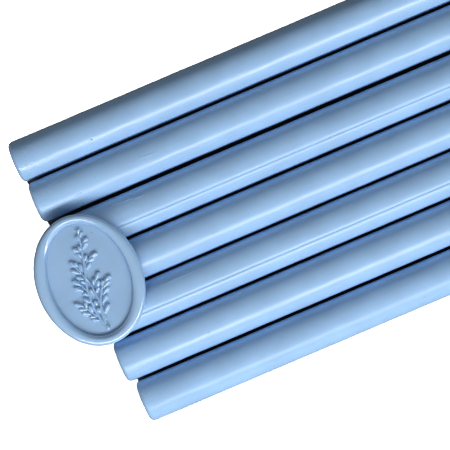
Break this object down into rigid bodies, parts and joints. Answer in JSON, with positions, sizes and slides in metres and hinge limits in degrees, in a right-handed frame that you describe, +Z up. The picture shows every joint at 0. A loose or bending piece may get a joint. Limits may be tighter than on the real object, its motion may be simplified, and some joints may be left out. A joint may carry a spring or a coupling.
{
  "type": "sealing wax stick set",
  "caption": "Round sealing wax sticks for a hot glue gun, lying side by side, with an oval stamped wax seal with a leafy sprig resting on their ends.",
  "frame": {"origin": "middle of the set's footprint, on the surface that the sticks lie on", "axes": "+X along the sticks, away from the seal; +Y across the row, towards the first stick; +Z up"},
  "size_m": [0.1486, 0.081, 0.0144],
  "materials": {
    "wax": "satin light blue wax"
  },
  "bodies": {
    "stick_1": {"stick_1": "wax"},
    "stick_2": {"stick_2": "wax"},
    "stick_3": {"stick_3": "wax"},
    "stick_4": {"stick_4": "wax"},
    "stick_5": {"stick_5": "wax"},
    "stick_6": {"stick_6": "wax"},
    "stick_7": {"stick_7": "wax"},
    "wax_seal": {"wax_seal": "wax"}
  },
  "joints": [
    {"name": "stick_1_pull", "type": "slide", "parent": "stick_4", "child": "stick_1", "axis": [1, 0, 0], "range_m": [0, 0.14]},
    {"name": "stick_2_pull", "type": "slide", "parent": "stick_4", "child": "stick_2", "axis": [1, 0, 0], "range_m": [0, 0.14]},
    {"name": "stick_3_pull", "type": "slide", "parent": "stick_4", "child": "stick_3", "axis": [1, 0, 0], "range_m": [0, 0.14]},
    {"name": "stick_5_pull", "type": "slide", "parent": "stick_4", "child": "stick_5", "axis": [1, 0, 0], "range_m": [0, 0.14]},
    {"name": "stick_6_pull", "type": "slide", "parent": "stick_4", "child": "stick_6", "axis": [1, 0, 0], "range_m": [0, 0.14]},
    {"name": "stick_7_pull", "type": "slide", "parent": "stick_4", "child": "stick_7", "axis": [1, 0, 0], "range_m": [0, 0.14]},
    {"name": "seal_lift", "type": "slide", "parent": "stick_4", "child": "wax_seal", "axis": [0, 0, 1], "range_m": [0, 0.04]}
  ]
}
